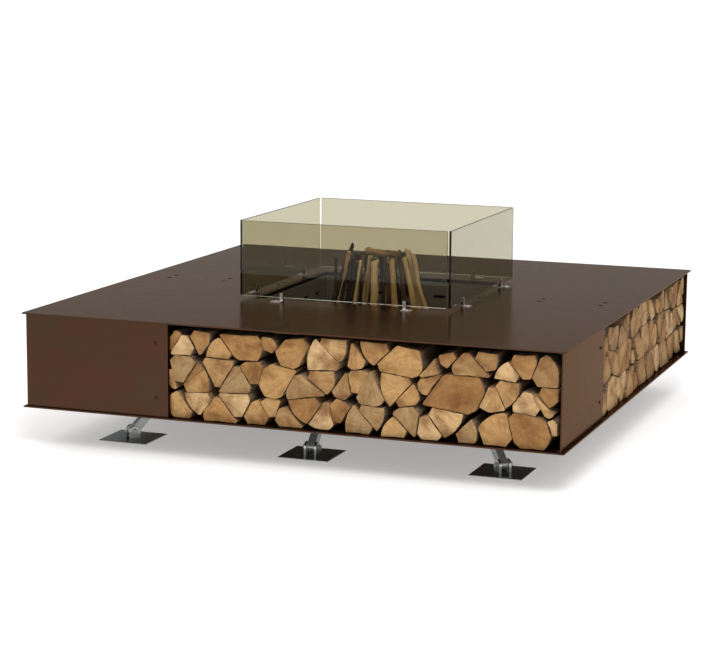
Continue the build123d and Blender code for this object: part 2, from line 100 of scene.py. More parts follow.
# ---- finishes ----
class Wiring:
    """Adds shader nodes to one node tree and links them up."""

    def __init__(self, tree: bpy.types.NodeTree) -> None:
        """Take the tree that the nodes go into."""
        self.tree = tree

    def add(self, kind: str, sockets: dict, **settings: object) -> bpy.types.Node:
        """Add a node.

        Args:
            kind: Type name of the node.
            sockets: Input name or index, and the value or output that feeds it.
            **settings: Properties of the node.

        Returns:
            The new node.
        """
        node = self.tree.nodes.new(kind)
        for name, value in settings.items():
            setattr(node, name, value)
        for name, value in sockets.items():
            self.feed(node.inputs[name], value)
        return node

    def feed(self, socket: Socket, value: object) -> None:
        """Link an output to a socket, or set the socket to a plain value."""
        if isinstance(value, Socket):
            self.tree.links.new(value, socket)
        else:
            socket.default_value = value


class Recipe(Wiring):
    """Wires up one new material."""

    def __init__(self, name: str) -> None:
        """Start a material with a Principled shader and object coordinates.

        Args:
            name: Name of the material.
        """
        self.material = bpy.data.materials.new(name)
        self.material.use_nodes = True
        super().__init__(self.material.node_tree)
        self.shader = self.tree.nodes["Principled BSDF"]
        self.place = self.add("ShaderNodeTexCoord", {}).outputs["Object"]

    def surface(self, **values: object) -> None:
        """Feed the shader's sockets, named with underscores for spaces."""
        for name, value in values.items():
            self.feed(self.shader.inputs[name.replace("_", " ")], value)

    def stretched(self, scale: Waves, source: object = None) -> Socket:
        """Coordinates scaled differently along each axis.

        Args:
            scale: Scale along X, Y and Z.
            source: Coordinates to scale, or None for object coordinates.

        Returns:
            The scaled coordinates.
        """
        return self.add("ShaderNodeMapping", {"Vector": source or self.place, "Scale": scale}).outputs[0]

    def noise(
        self,
        scale: float,
        detail: float = 4.0,
        roughness: float = 0.55,
        vector: object = None,
        warp: float = 0.0,
    ) -> Socket:
        """Noise between 0 and 1.

        Args:
            scale: Waves per metre of the coordinates.
            detail: Octaves of finer noise.
            roughness: Strength of the finer octaves.
            vector: Coordinates, or None for object coordinates.
            warp: Distortion of the pattern.

        Returns:
            The noise value.
        """
        sockets = {"Vector": vector or self.place, "Scale": scale, "Detail": detail}
        sockets |= {"Roughness": roughness, "Distortion": warp}
        return self.add("ShaderNodeTexNoise", sockets).outputs["Fac"]

    def ramp(self, factor: object, stops: list[Stop]) -> Socket:
        """Colour that runs through several stops.

        Args:
            factor: Value between 0 and 1.
            stops: Position and colour of each stop, in order.

        Returns:
            The colour.
        """
        node = self.add("ShaderNodeValToRGB", {"Fac": factor})
        elements = node.color_ramp.elements
        while len(elements) < len(stops):
            elements.new(0.5)
        for element, (position, colour) in zip(elements, stops):
            element.position = position
            element.color = (*colour, 1.0)
        return node.outputs["Color"]

    def grey(self, factor: object, low: Point, high: Point) -> Socket:
        """Value that runs from one level to another.

        Args:
            factor: Value between 0 and 1.
            low: Where the run starts, and its level there.
            high: Where the run ends, and its level there.

        Returns:
            The value.
        """
        sockets = {"Value": factor, "From Min": low[0], "From Max": high[0]}
        sockets |= {"To Min": low[1], "To Max": high[1]}
        return self.add("ShaderNodeMapRange", sockets).outputs["Result"]

    def mix(self, factor: object, first: object, second: object, blend: str = "MIX") -> Socket:
        """Blend of two colours.

        Args:
            factor: Share of the second colour.
            first: First colour.
            second: Second colour.
            blend: Way of blending.

        Returns:
            The blended colour.
        """
        node = self.add("ShaderNodeMix", {}, data_type="RGBA", blend_type=blend)
        sockets = [node.inputs[index] for index in (0, 6, 7)]
        for socket, value in zip(sockets, (factor, first, second)):
            self.feed(socket, (*value, 1.0) if isinstance(value, tuple) else value)
        return node.outputs[2]

    def shaded(self, base: object, share: float, factor: object, dark: Stop, light: Stop) -> Socket:
        """Colour multiplied by a tone that runs from a dark one to a light one.

        Args:
            base: Colour to shade.
            share: Strength of the shading.
            factor: Value between 0 and 1 that the tone follows.
            dark: Where the run starts, and its tone there.
            light: Where the run ends, and its tone there.

        Returns:
            The shaded colour.
        """
        return self.mix(share, base, self.ramp(factor, [dark, light]), "MULTIPLY")

    def maths(self, operation: str, first: object, second: object = 0.0) -> Socket:
        """Result of one step of arithmetic on two values."""
        return self.add("ShaderNodeMath", {0: first, 1: second}, operation=operation).outputs[0]

    def parts(self, vector: object) -> bpy.types.NodeOutputs:
        """X, Y and Z of a vector."""
        return self.add("ShaderNodeSeparateXYZ", {0: vector}).outputs

    def across(self, parts: bpy.types.NodeOutputs, axes: str) -> Socket:
        """Distance from the origin across two named axes."""
        squares = [self.maths("POWER", parts[axis], 2.0) for axis in axes]
        return self.maths("SQRT", self.maths("ADD", *squares))

    def attribute(self, name: str) -> bpy.types.Node:
        """Node that reads a named attribute of the mesh."""
        return self.add("ShaderNodeAttribute", {}, attribute_name=name)

    def bump(self, height: object, distance: float, strength: float = 1.0, over: object = None) -> Socket:
        """Surface normal with fine relief.

        Args:
            height: Height of the relief, between 0 and 1.
            distance: Depth of the relief in metres.
            strength: Share of the relief that shows.
            over: Normal that this relief lies on, or None.

        Returns:
            The bumped normal.
        """
        node = self.add("ShaderNodeBump", {"Height": height, "Distance": distance, "Strength": strength})
        if over is not None:
            self.feed(node.inputs["Normal"], over)
        return node.outputs["Normal"]


class Finish(ABC):
    """A finish that makes its own material once."""

    @abstractmethod
    def paint(self, recipe: Recipe) -> None:
        """Set up the nodes of the finish."""

    def material(self) -> bpy.types.Material:
        """Material of this finish, made on first use."""
        name = type(self).__name__
        if name not in bpy.data.materials:
            self.paint(Recipe(name))
        return bpy.data.materials[name]


@dataclass(frozen=True)
class WeatheringSteel(Finish):
    """Smooth brown sheet steel with a mottled oxide skin and a satin gloss."""

    umber: Colour = (0.061, 0.031, 0.018)
    russet: Colour = (0.068, 0.030, 0.018)
    olive: Colour = (0.056, 0.034, 0.020)
    edge_tint: Colour = (0.52, 0.42, 0.355)
    metal: float = 0.88
    cloud_waves: float = 6.0
    blotch_waves: float = 24.0
    grain_waves: float = 420.0

    def paint(self, recipe: Recipe) -> None:
        """Faint mottle at two scales, with fine grain."""
        clouds = recipe.noise(self.cloud_waves, detail=5.0, roughness=0.6, warp=0.6)
        blotches = recipe.noise(self.blotch_waves, detail=4.0, roughness=0.6)
        grain = recipe.noise(self.grain_waves, detail=3.0)
        base = recipe.ramp(clouds, [(0.36, self.olive), (0.5, self.umber), (0.64, self.russet)])
        base = recipe.mix(recipe.grey(blotches, (0.45, 0.0), (0.8, 0.3)), base, self.russet)
        base = recipe.shaded(base, 0.2, grain, (0.3, (0.75, 0.75, 0.75)), (0.7, (1.2, 1.2, 1.2)))
        satin = recipe.grey(blotches, (0.3, 0.18), (0.7, 0.22))
        gloss = recipe.maths("ADD", satin, recipe.grey(grain, (0.0, -0.01), (1.0, 0.01)))
        recipe.surface(Base_Color=base, Metallic=self.metal, Roughness=gloss)
        recipe.surface(Specular_Tint=(*self.edge_tint, 1.0), Specular_IOR_Level=0.25)
        recipe.surface(Normal=recipe.bump(clouds, 0.0002, 0.05))


@dataclass(frozen=True)
class RecessShadedScrew(Finish):
    """Screw heads browned with the plate they sit in, and painted near black as the shade of their recessed
    holes.
    """

    # The near-black colour is painted shade: it stands in for the shadow in the recessed screw holes.
    colour: Colour = (0.012, 0.009, 0.007)
    worn: Colour = (0.040, 0.030, 0.024)
    wear_waves: float = 900.0

    def paint(self, recipe: Recipe) -> None:
        """Near-black painted shade of the recessed screw holes, with paler wear."""
        wear = recipe.noise(self.wear_waves, detail=4.0)
        base = recipe.ramp(wear, [(0.45, self.colour), (0.8, self.worn)])
        recipe.surface(Base_Color=base, Specular_IOR_Level=0.0)
        recipe.surface(Roughness=recipe.grey(wear, (0.3, 0.6), (0.7, 0.75)))
        recipe.surface(Normal=recipe.bump(wear, 0.0002, 0.3))


@dataclass(frozen=True)
class FiredSteel(Finish):
    """Mild steel of the tub, grate and pan, dulled and blued by heat."""

    grey: Colour = (0.135, 0.140, 0.128)
    dark: Colour = (0.045, 0.046, 0.043)
    straw: Colour = (0.150, 0.134, 0.106)
    cloud_waves: float = 6.0
    scale_waves: float = 240.0
    soot_full: float = 0.05
    soot_end: float = 0.24
    metal: float = 0.45

    def paint(self, recipe: Recipe) -> None:
        """Grey skin with soot low down and heat tints in patches."""
        clouds = recipe.noise(self.cloud_waves, detail=5.0, roughness=0.6)
        fine = recipe.noise(self.scale_waves, detail=4.0)
        low = frame_low("fire_tub")
        height = recipe.parts(recipe.place)["Z"]
        depth = recipe.grey(height, (low + self.soot_full, 1.0), (low + self.soot_end, 0.0))
        soot = recipe.maths("MULTIPLY", depth, clouds)
        base = recipe.ramp(clouds, [(0.35, self.grey), (0.58, self.straw), (0.7, self.grey)])
        base = recipe.mix(recipe.grey(soot, (0.15, 0.0), (0.6, 0.8)), base, self.dark)
        base = recipe.shaded(base, 0.3, fine, (0.3, (0.7, 0.7, 0.7)), (0.7, (1.25, 1.25, 1.25)))
        recipe.surface(Base_Color=base, Metallic=self.metal)
        recipe.surface(Roughness=recipe.grey(fine, (0.25, 0.42), (0.75, 0.62)))
        recipe.surface(Normal=recipe.bump(fine, 0.0003, 0.35))


@dataclass(frozen=True)
class Galvanised(Finish):
    """Hot-dip zinc with its crystal spangle."""

    pale: Colour = (0.66, 0.71, 0.69)
    dull: Colour = (0.47, 0.52, 0.50)
    crystals_per_metre: float = 130.0
    haze_waves: float = 35.0
    metal: float = 0.75

    def paint(self, recipe: Recipe) -> None:
        """Crystals a few millimetres across, each a slightly different grey."""
        cells = {"Vector": recipe.place, "Scale": self.crystals_per_metre}
        crystals = recipe.add("ShaderNodeTexVoronoi", cells).outputs["Color"]
        shade = recipe.add("ShaderNodeSeparateColor", {"Color": crystals}).outputs[0]
        haze = recipe.noise(self.haze_waves, detail=4.0)
        base = recipe.mix(shade, self.dull, self.pale)
        base = recipe.shaded(base, 0.3, haze, (0.3, (0.6, 0.62, 0.6)), (0.7, (1.2, 1.2, 1.2)))
        recipe.surface(Base_Color=base, Metallic=self.metal)
        recipe.surface(Roughness=recipe.grey(shade, (0.0, 0.36), (1.0, 0.52)))
        recipe.surface(Normal=recipe.bump(haze, 0.0002, 0.3))


@dataclass(frozen=True)
class FootSteel(Finish):
    """Smooth rolled steel of the foot plates, which mirrors the table above it."""

    steel: Colour = (0.120, 0.136, 0.134)
    film: Colour = (0.090, 0.106, 0.104)
    cut: Colour = (0.74, 0.76, 0.75)
    edge_tint: Colour = (0.52, 0.55, 0.54)
    film_waves: float = 14.0
    line_waves: float = 60.0
    metal: float = 0.7

    def paint(self, recipe: Recipe) -> None:
        """Nearly mirror smooth, with a faint oil film, rolling lines and a painted highlight: the bare steel
        edges are painted pale.
        """
        film = recipe.noise(self.film_waves, detail=4.0, warp=0.8)
        lines = recipe.noise(self.line_waves, detail=3.0, vector=recipe.stretched((1.0, 14.0, 14.0)))
        base = recipe.mix(recipe.grey(film, (0.35, 0.0), (0.7, 1.0)), self.steel, self.film)
        # Upright faces, the bare steel edges of the plates, get a near-white colour: partly bare metal,
        # partly a painted highlight along the edges.
        normal = recipe.add("ShaderNodeTexCoord", {}).outputs["Normal"]
        rise = recipe.maths("ABSOLUTE", recipe.parts(normal)["Z"])
        base = recipe.mix(recipe.grey(rise, (0.3, 1.0), (0.7, 0.0)), base, self.cut)
        oiled = recipe.grey(film, (0.3, 0.12), (0.7, 0.17))
        gloss = recipe.maths("ADD", oiled, recipe.grey(lines, (0.0, -0.02), (1.0, 0.02)))
        recipe.surface(Base_Color=base, Metallic=self.metal, Roughness=gloss)
        recipe.surface(Specular_Tint=(*self.edge_tint, 1.0), Specular_IOR_Level=0.3)
        recipe.surface(Normal=recipe.bump(film, 0.0001, 0.05))


@dataclass(frozen=True)
class BrushedStainless(Finish):
    """Stainless clips with a fine brushed grain."""

    steel: Colour = (0.74, 0.73, 0.71)
    groove: Colour = (0.45, 0.45, 0.44)
    line_waves: float = 90.0
    haze_waves: float = 60.0

    def paint(self, recipe: Recipe) -> None:
        """Hair lines along the strip."""
        lines = recipe.noise(self.line_waves, detail=3.0, vector=recipe.stretched((12.0, 12.0, 1.0)))
        haze = recipe.noise(self.haze_waves, detail=2.0)
        base = recipe.mix(recipe.grey(lines, (0.3, 0.0), (0.7, 0.22)), self.steel, self.groove)
        recipe.surface(Base_Color=base, Metallic=1.0, Roughness=recipe.grey(haze, (0.3, 0.22), (0.7, 0.34)))
        recipe.surface(Normal=recipe.bump(lines, 0.0001, 0.2))


@dataclass(frozen=True)
class BronzeGlass(Finish):
    """Bronze-tinted toughened glass, with faint dust that dulls its gloss."""

    tint: Colour = (0.576, 0.541, 0.412)
    dusty: Colour = (0.62, 0.60, 0.49)
    mirror: Colour = (0.29, 0.29, 0.28)
    dust_waves: float = 18.0

    def paint(self, recipe: Recipe) -> None:
        """Clear tinted body with a barely uneven gloss."""
        dust = recipe.noise(self.dust_waves, detail=5.0, roughness=0.7)
        tone = recipe.mix(recipe.grey(dust, (0.35, 0.0), (0.75, 0.06)), self.tint, self.dusty)
        recipe.surface(Base_Color=tone, Roughness=recipe.grey(dust, (0.3, 0.0), (0.8, 0.015)))
        recipe.surface(Transmission_Weight=1.0, IOR=1.5, Specular_Tint=(*self.mirror, 1.0))


@dataclass(frozen=True)
class Silicone(Finish):
    """Matt black liner between glass and clip."""

    colour: Colour = (0.022, 0.022, 0.023)
    dusty: Colour = (0.12, 0.12, 0.115)
    dust_waves: float = 500.0

    def paint(self, recipe: Recipe) -> None:
        """Slightly dusty rubber."""
        dust = recipe.noise(self.dust_waves, detail=3.0)
        base = recipe.mix(recipe.grey(dust, (0.5, 0.0), (0.8, 0.3)), self.colour, self.dusty)
        recipe.surface(Base_Color=base, Roughness=0.75, Normal=recipe.bump(dust, 0.0001, 0.3))


@dataclass(frozen=True)
class LogEnd(Finish):
    """Sawn end of a log: growth rings round its heart, radial cracks and stains."""

    tones: tuple[Colour, ...] = (
        (0.280, 0.150, 0.056),
        (0.365, 0.207, 0.080),
        (0.330, 0.222, 0.110),
        (0.415, 0.246, 0.099),
        (0.445, 0.280, 0.122),
        (0.570, 0.400, 0.215),
    )
    heartwood: Colour = (0.180, 0.082, 0.028)
    crack: Colour = (0.07, 0.035, 0.016)
    ring_width: float = 0.0042
    ring_wobble: float = 0.012
    wobble_waves: float = 22.0
    stain_waves: float = 14.0
    patch_waves: float = 62.0
    fibre_waves: float = 420.0
    ray_waves: float = 8.0
    log_shift: float = 9.0

    def paint(self, recipe: Recipe) -> None:
        """Rings and cracks follow the heart that each log carries as an attribute."""
        tone = recipe.attribute("tone").outputs["Fac"]
        parts = recipe.parts(recipe.attribute("heart").outputs["Vector"])
        level = recipe.add("ShaderNodeCombineXYZ", {axis: parts[axis] for axis in "XZ"}).outputs[0]
        shift = recipe.maths("MULTIPLY", tone, self.log_shift)
        chance = recipe.add("ShaderNodeCombineXYZ", {"Y": shift}).outputs[0]
        flat = recipe.add("ShaderNodeVectorMath", {0: level, 1: chance}).outputs[0]
        around = recipe.add("ShaderNodeVectorMath", {0: level}, operation="NORMALIZE").outputs[0]
        spokes = recipe.add("ShaderNodeVectorMath", {0: around, 1: chance}).outputs[0]
        radius = recipe.across(parts, "XZ")
        rings = self.rings(recipe, radius, flat)
        rays = recipe.noise(self.ray_waves, detail=6.0, roughness=0.75, vector=spokes)
        stain = recipe.noise(self.stain_waves, detail=3.0, roughness=0.5, vector=flat, warp=0.4)
        fibre = recipe.noise(self.fibre_waves, detail=3.0, vector=flat)
        patches = recipe.noise(self.patch_waves, detail=5.0, roughness=0.7, vector=flat, warp=0.8)
        step = 1.0 / (len(self.tones) - 1)
        base = recipe.ramp(tone, [(index * step, colour) for index, colour in enumerate(self.tones)])
        near = recipe.grey(radius, (0.012, 0.55), (0.05, 0.0))
        core = recipe.maths("MULTIPLY", near, recipe.grey(stain, (0.3, 0.2), (0.6, 1.0)))
        base = recipe.mix(core, base, self.heartwood)
        base = recipe.mix(recipe.grey(stain, (0.43, 0.0), (0.70, 0.9)), base, self.heartwood)
        bright = (1.14, 1.14, 1.14)
        base = recipe.shaded(base, 0.5, rings, (0.0, (0.70, 0.60, 0.48)), (1.0, bright))
        base = recipe.shaded(base, 0.5, rays, (0.34, (0.60, 0.52, 0.42)), (0.6, bright))
        base = recipe.shaded(base, 0.5, patches, (0.36, (0.68, 0.62, 0.54)), (0.62, bright))
        crack = recipe.grey(rays, (0.29, 1.0), (0.32, 0.0))
        base = recipe.mix(recipe.maths("MULTIPLY", crack, 0.7), base, self.crack)
        base = recipe.shaded(base, 0.3, fibre, (0.3, (0.8, 0.8, 0.78)), (0.7, (1.12, 1.12, 1.12)))
        recipe.surface(Base_Color=base, Roughness=0.82, Specular_IOR_Level=WOOD_SHINE)
        relief = recipe.bump(fibre, 0.0008, 0.5, over=recipe.bump(rings, 0.0006, 0.3))
        recipe.surface(Normal=recipe.bump(recipe.maths("SUBTRACT", 1.0, crack), 0.002, 0.8, over=relief))

    def rings(self, recipe: Recipe, radius: Socket, flat: Socket) -> Socket:
        """Growth rings, which wander a little.

        Args:
            recipe: Recipe of the finish.
            radius: Distance from the heart.
            flat: Place on the sawn end, shifted by chance from log to log.

        Returns:
            Value that swings between -0.5 and 0.5 from ring to ring.
        """
        wander = recipe.noise(self.wobble_waves, detail=3.0, vector=flat)
        wobble = recipe.maths("MULTIPLY", wander, self.ring_wobble)
        phase = recipe.maths("DIVIDE", recipe.maths("ADD", radius, wobble), self.ring_width)
        wave = recipe.maths("SINE", recipe.maths("MULTIPLY", phase, TURN))
        return recipe.maths("MULTIPLY_ADD", wave, 0.5)


@dataclass(frozen=True)
class LogSide(Finish):
    """Split face of a log, with fibres along its length."""

    pale: Colour = (0.36, 0.24, 0.13)
    deep: Colour = (0.19, 0.11, 0.052)
    fibre_waves: float = 120.0
    cloud_waves: float = 12.0

    def paint(self, recipe: Recipe) -> None:
        """Long fibres, torn here and there."""
        heart = recipe.attribute("heart").outputs["Vector"]
        tone = recipe.attribute("tone").outputs["Fac"]
        long = recipe.stretched((1.0, 0.05, 1.0), heart)
        fibres = recipe.noise(self.fibre_waves, detail=5.0, roughness=0.65, vector=long)
        clouds = recipe.noise(self.cloud_waves, detail=4.0, vector=heart)
        base = recipe.ramp(fibres, [(0.28, self.deep), (0.6, self.pale)])
        base = recipe.mix(recipe.grey(clouds, (0.4, 0.0), (0.75, 0.6)), base, self.deep)
        base = recipe.shaded(base, 0.5, tone, (0.0, (0.6, 0.58, 0.55)), (1.0, (1.25, 1.25, 1.25)))
        recipe.surface(Base_Color=base, Roughness=0.88, Specular_IOR_Level=WOOD_SHINE)
        recipe.surface(Normal=recipe.bump(fibres, 0.0016, 0.8))


@dataclass(frozen=True)
class Bark(Finish):
    """Thin grey-brown bark with lengthwise furrows."""

    crest: Colour = (0.27, 0.195, 0.125)
    furrow: Colour = (0.085, 0.055, 0.034)
    lichen: Colour = (0.27, 0.245, 0.18)
    furrow_waves: float = 75.0
    lichen_waves: float = 28.0

    def paint(self, recipe: Recipe) -> None:
        """Furrows along the log, with lichen in patches."""
        heart = recipe.attribute("heart").outputs["Vector"]
        long = recipe.stretched((1.0, 0.12, 1.0), heart)
        furrows = recipe.noise(self.furrow_waves, detail=5.0, roughness=0.7, vector=long)
        lichen = recipe.noise(self.lichen_waves, detail=5.0, vector=heart)
        base = recipe.ramp(furrows, [(0.35, self.furrow), (0.62, self.crest)])
        base = recipe.mix(recipe.grey(lichen, (0.6, 0.0), (0.8, 0.4)), base, self.lichen)
        recipe.surface(Base_Color=base, Roughness=0.92, Specular_IOR_Level=WOOD_SHINE)
        recipe.surface(Normal=recipe.bump(furrows, 0.003, 1.0))


@dataclass(frozen=True)
class BranchSkin(Finish):
    """Thin bark of the kindling, from sun-bleached tan to charred black by each stick's tone."""

    char: Colour = (0.020, 0.017, 0.015)
    brown: Colour = (0.085, 0.047, 0.024)
    tan: Colour = (0.40, 0.255, 0.115)
    straw: Colour = (0.55, 0.40, 0.215)
    streak_waves: float = 110.0
    patch_waves: float = 20.0

    def paint(self, recipe: Recipe) -> None:
        """Streaks along each stick, with patches where the bark has gone."""
        heart = recipe.attribute("heart").outputs["Vector"]
        tone = recipe.attribute("tone").outputs["Fac"]
        long = recipe.stretched((1.0, 1.0, 0.07), heart)
        streaks = recipe.noise(self.streak_waves, detail=5.0, roughness=0.7, vector=long)
        patches = recipe.noise(self.patch_waves, detail=4.0, vector=recipe.stretched((1.0, 1.0, 0.45), heart))
        shade = recipe.maths("ADD", tone, recipe.grey(patches, (0.3, -0.16), (0.7, 0.16)))
        shade = recipe.maths("ADD", shade, recipe.grey(streaks, (0.3, -0.11), (0.7, 0.11)))
        stops = [(0.08, self.char), (0.34, self.brown), (0.62, self.tan), (0.95, self.straw)]
        recipe.surface(Base_Color=recipe.ramp(shade, stops), Roughness=0.85, Specular_IOR_Level=WOOD_SHINE)
        recipe.surface(Normal=recipe.bump(streaks, 0.0018, 0.8))


@dataclass(frozen=True)
class BranchEnd(Finish):
    """Sawn end of a kindling stick with a dark pith."""

    wood: Colour = (0.55, 0.37, 0.19)
    pith: Colour = (0.16, 0.09, 0.045)
    char: Colour = (0.03, 0.024, 0.02)
    ring_width: float = 0.0025

    def paint(self, recipe: Recipe) -> None:
        """Rings round the middle of the stick."""
        radius = recipe.across(recipe.parts(recipe.attribute("heart").outputs["Vector"]), "XY")
        rings = recipe.maths("SINE", recipe.maths("MULTIPLY", radius, TURN / self.ring_width))
        base = recipe.mix(recipe.grey(radius, (0.001, 1.0), (0.006, 0.0)), self.wood, self.pith)
        base = recipe.mix(recipe.grey(rings, (-1.0, 0.3), (1.0, 0.0)), base, self.pith)
        tone = recipe.attribute("tone").outputs["Fac"]
        base = recipe.mix(recipe.grey(tone, (0.3, 0.9), (0.5, 0.0)), base, self.char)
        recipe.surface(Base_Color=base, Roughness=0.8, Normal=recipe.bump(rings, 0.0003, 0.4))


@dataclass(frozen=True)
class PaleFloor(Finish):
    """Pale studio floor, lit softly from below as well."""

    paper: Colour = (0.80, 0.80, 0.80)
    shade: Colour = (0.78, 0.78, 0.78)
    lamp: Colour = (1.0, 0.985, 0.975)
    glow: float = 0.34
    haze_waves: float = 0.8

    def paint(self, recipe: Recipe) -> None:
        """Almost even paper white."""
        haze = recipe.noise(self.haze_waves, detail=3.0)
        base = recipe.mix(recipe.grey(haze, (0.3, 0.0), (0.7, 0.5)), self.paper, self.shade)
        recipe.surface(Base_Color=base, Roughness=0.9, Specular_IOR_Level=0.2)
        recipe.surface(Emission_Color=(*self.lamp, 1.0), Emission_Strength=self.glow)


def frame_low(node: str) -> float:
    """Height of the lowest point of a CAD node."""
    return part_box(node)[0][2]


def dress(finish: Finish, *nodes: str) -> None:
    """Give CAD nodes a finish.

    Args:
        finish: The finish.
        *nodes: Names of the nodes.
    """
    material = finish.material()
    for name in nodes:
        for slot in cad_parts[name].material_slots:
            slot.material = material
        logger.info("%s: %s", name, material.name)


# ---- meshes that are modelled here ----
class Workshop:
    """One mesh object that is modelled piece by piece in edit mode."""

    smooth_below: ClassVar[float] = radians(38.0)

    def __init__(self, name: str) -> None:
        """Start an empty mesh object and enter edit mode.

        Args:
            name: Name of the piece.
        """
        bpy.ops.object.select_all(action="DESELECT")
        mesh = bpy.data.meshes.new(name)
        self.piece = bpy.data.objects.new(name, mesh)
        bpy.context.scene.collection.objects.link(self.piece)
        bpy.context.view_layer.objects.active = self.piece
        self.piece.select_set(True)
        bpy.ops.object.mode_set(mode="EDIT")
        bpy.ops.mesh.select_mode(type="FACE")

    def vertex_count(self) -> int:
        """Number of vertices so far."""
        return len(bmesh.from_edit_mesh(self.piece.data).verts)

    def bar(self, outline: list[Vector], steps: list[Vector], rim: float, rim_rise: float) -> Span:
        """Extrude an outline into a closed bar, and leave a narrow rim round its last face.

        Args:
            outline: Points of the first face, counter-clockwise seen from where the bar runs to.
            steps: Moves of the extruded face, one after the other.
            rim: Width of the rim.
            rim_rise: How far the inside of the rim stands proud.

        Returns:
            First vertex index of the bar, and the index after its last.
        """
        first = self.vertex_count()
        bpy.ops.mesh.select_all(action="DESELECT")
        bpy.ops.mesh.primitive_circle_add(vertices=len(outline), fill_type="NGON")
        sketch = bmesh.from_edit_mesh(self.piece.data)
        sketch.verts.ensure_lookup_table()
        for vertex, point in zip(sketch.verts[first:], outline):
            vertex.co = point
        bmesh.update_edit_mesh(self.piece.data)
        for step in steps:
            bpy.ops.mesh.extrude_region_move(TRANSFORM_OT_translate={"value": step})
        bpy.ops.mesh.inset(thickness=rim, depth=rim_rise)
        return first, self.vertex_count()

    def leave(self) -> None:
        """Turn all faces outwards and go back to object mode."""
        bpy.ops.mesh.select_all(action="SELECT")
        bpy.ops.mesh.normals_make_consistent(inside=False)
        bpy.ops.mesh.select_all(action="DESELECT")
        bpy.ops.object.mode_set(mode="OBJECT")

    def attribute(self, name: str, kind: str, values: list[float]) -> None:
        """Store one value or vector for each vertex.

        Args:
            name: Name of the attribute.
            kind: FLOAT or FLOAT_VECTOR.
            values: All values in a row, three for each vertex of a vector.
        """
        layer = self.piece.data.attributes.new(name, kind, "POINT")
        layer.data.foreach_set("value" if kind == "FLOAT" else "vector", values)

    def finish(
        self, finishes: list[Finish], face_finish: list[int], body: str, slot: str, *replaced: str
    ) -> None:
        """Give the faces their finishes and put the piece in its place in the object.

        Args:
            finishes: Finishes that the faces choose from.
            face_finish: Index of the finish of each face.
            body: Body that the piece rides on.
            slot: Name of the piece's material slot; not used.
            *replaced: CAD nodes that the piece stands for.
        """
        mesh = self.piece.data
        for entry in finishes:
            mesh.materials.append(entry.material())
        mesh.polygons.foreach_set("material_index", face_finish)
        bpy.ops.object.select_all(action="DESELECT")
        self.piece.select_set(True)
        bpy.context.view_layer.objects.active = self.piece
        bpy.ops.object.shade_smooth_by_angle(angle=self.smooth_below)
        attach(self.piece, body)
        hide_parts(*replaced)
        logger.info("%s: %d faces", self.piece.name, len(mesh.polygons))


def solids_of(node: str) -> list[list[Vector]]:
    """Split a CAD node into its separate solids.

    Args:
        node: Name of the node.

    Returns:
        The corner points of each solid, in a repeatable order.
    """
    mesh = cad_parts[node].data
    keys = [tuple(round(value, 5) for value in vertex.co) for vertex in mesh.vertices]
    parent: dict[tuple, tuple] = {key: key for key in keys}

    def root(key: tuple) -> tuple:
        """Representative point of the solid that a point belongs to."""
        while parent[key] != key:
            parent[key] = parent[parent[key]]
            key = parent[key]
        return key

    for polygon in mesh.polygons:
        corners = [root(keys[index]) for index in polygon.vertices]
        for corner in corners[1:]:
            parent[root(corner)] = root(corners[0])
    groups: dict[tuple, list[Vector]] = {}
    for key in sorted(parent):
        groups.setdefault(root(key), []).append(Vector(key))
    return sorted(groups.values(), key=lambda points: tuple(points[0]))


def ripple(point: Sequence[float], waves: Waves, shift: Sequence[float] = (0.0, 0.0, 0.0)) -> float:
    """Smooth noise at a point.

    Args:
        point: The point.
        waves: Waves per metre along each axis.
        shift: Move of the pattern, in waves.

    Returns:
        Value between -1 and 1.
    """
    return noise.noise(Vector([place * scale for place, scale in zip(point, waves)]) + Vector(shift))


def loop_round(points: list[Point]) -> list[Point]:
    """Order the points of a convex outline counter-clockwise."""
    middle = (sum(x for x, _ in points) / len(points), sum(y for _, y in points) / len(points))
    return sorted(set(points), key=lambda point: atan2(point[1] - middle[1], point[0] - middle[0]))


def evenly(points: list[Point], spacing: float) -> list[Point]:
    """Split the sides of a closed outline into short steps, and keep its corners.

    Args:
        points: The outline.
        spacing: Wanted distance between the new points.

    Returns:
        The new points.
    """
    result = []
    for a, b in zip(points, points[1:] + points[:1]):
        count = max(1, round(hypot(b[0] - a[0], b[1] - a[1]) / spacing))
        width, height = b[0] - a[0], b[1] - a[1]
        result += [(a[0] + width * n / count, a[1] + height * n / count) for n in range(count)]
    return result


def sharpened(points: list[Point], shortest_side: float, reach: float) -> list[Point]:
    """Take the rounding off the corners of a convex outline.

    Args:
        points: The outline.
        shortest_side: Length above which a step counts as a straight side.
        reach: How far a side may be drawn out to its corner; a longer one is left blunt.

    Returns:
        The points where neighbouring straight sides meet.
    """
    loop = [Vector(point) for point in points]
    sides = [(a, b) for a, b in zip(loop, loop[1:] + loop[:1]) if (b - a).length > shortest_side]
    blunt = reach * 0.35
    corners: list[Vector] = []
    for (a, b), (c, d) in zip(sides, sides[1:] + sides[:1]):
        along, onward = (b - a).normalized(), (d - c).normalized()
        turn = along.cross(onward)
        meets = abs(turn) > LEAST_TURN
        gap = (c - b).cross(onward) / turn if meets else reach
        after = (c - b).cross(along) / turn if meets else reach
        if 0 <= gap < reach and 0 <= after < reach:
            corners.append(b + along * gap)
        elif (c - b).length > reach:
            corners += [b + along * blunt, c - onward * blunt]
        else:
            corners += [b, c]
    return [(corner.x, corner.y) for corner in corners]


